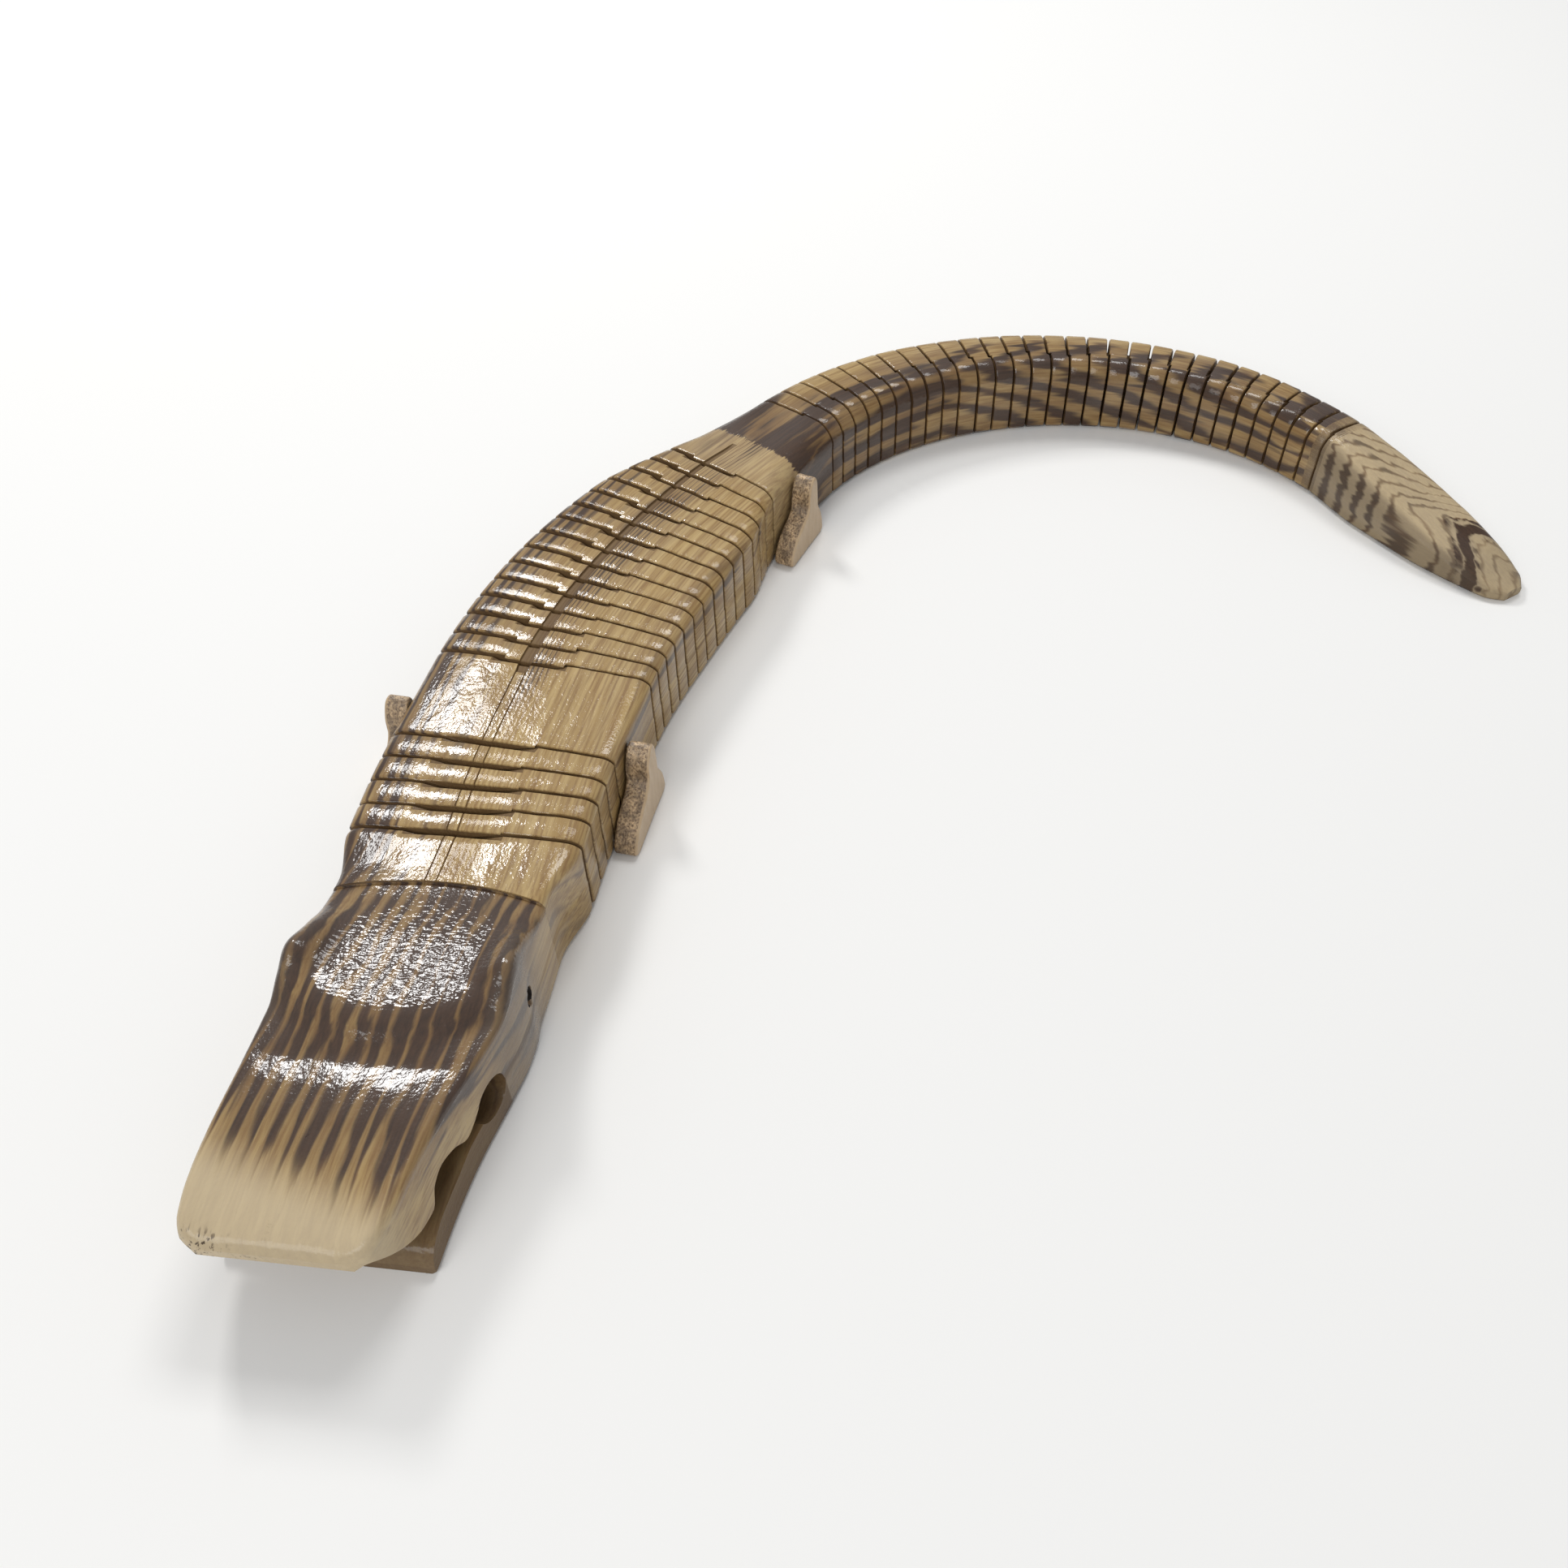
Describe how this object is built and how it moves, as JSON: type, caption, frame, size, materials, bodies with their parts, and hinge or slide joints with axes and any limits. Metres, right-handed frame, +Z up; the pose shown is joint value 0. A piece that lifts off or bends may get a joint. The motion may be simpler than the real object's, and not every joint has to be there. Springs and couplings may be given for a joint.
{
  "type": "crocodile sculpture",
  "caption": "Flexible wooden crocodile toy, torch-scorched and varnished, with a kerf-sawn body lying on its belly and the tail curled to one side.",
  "frame": {"origin": "middle of the outline, on the surface that the belly lies on", "axes": "+Z up; the head points towards -Y and the tail curls round towards +X"},
  "size_m": [0.3836, 0.367, 0.0387],
  "materials": {
    "scorched_wood": "torch-scorched softwood under a glossy clear varnish",
    "leg_wood": "scorched softwood, rough brown edges, pale sanded outer face"
  },
  "bodies": {
    "root": {"body": "scorched_wood", "leg_front_left": "leg_wood", "leg_front_right": "leg_wood", "leg_rear_left": "leg_wood", "leg_rear_right": "leg_wood"}
  },
  "joints": []
}
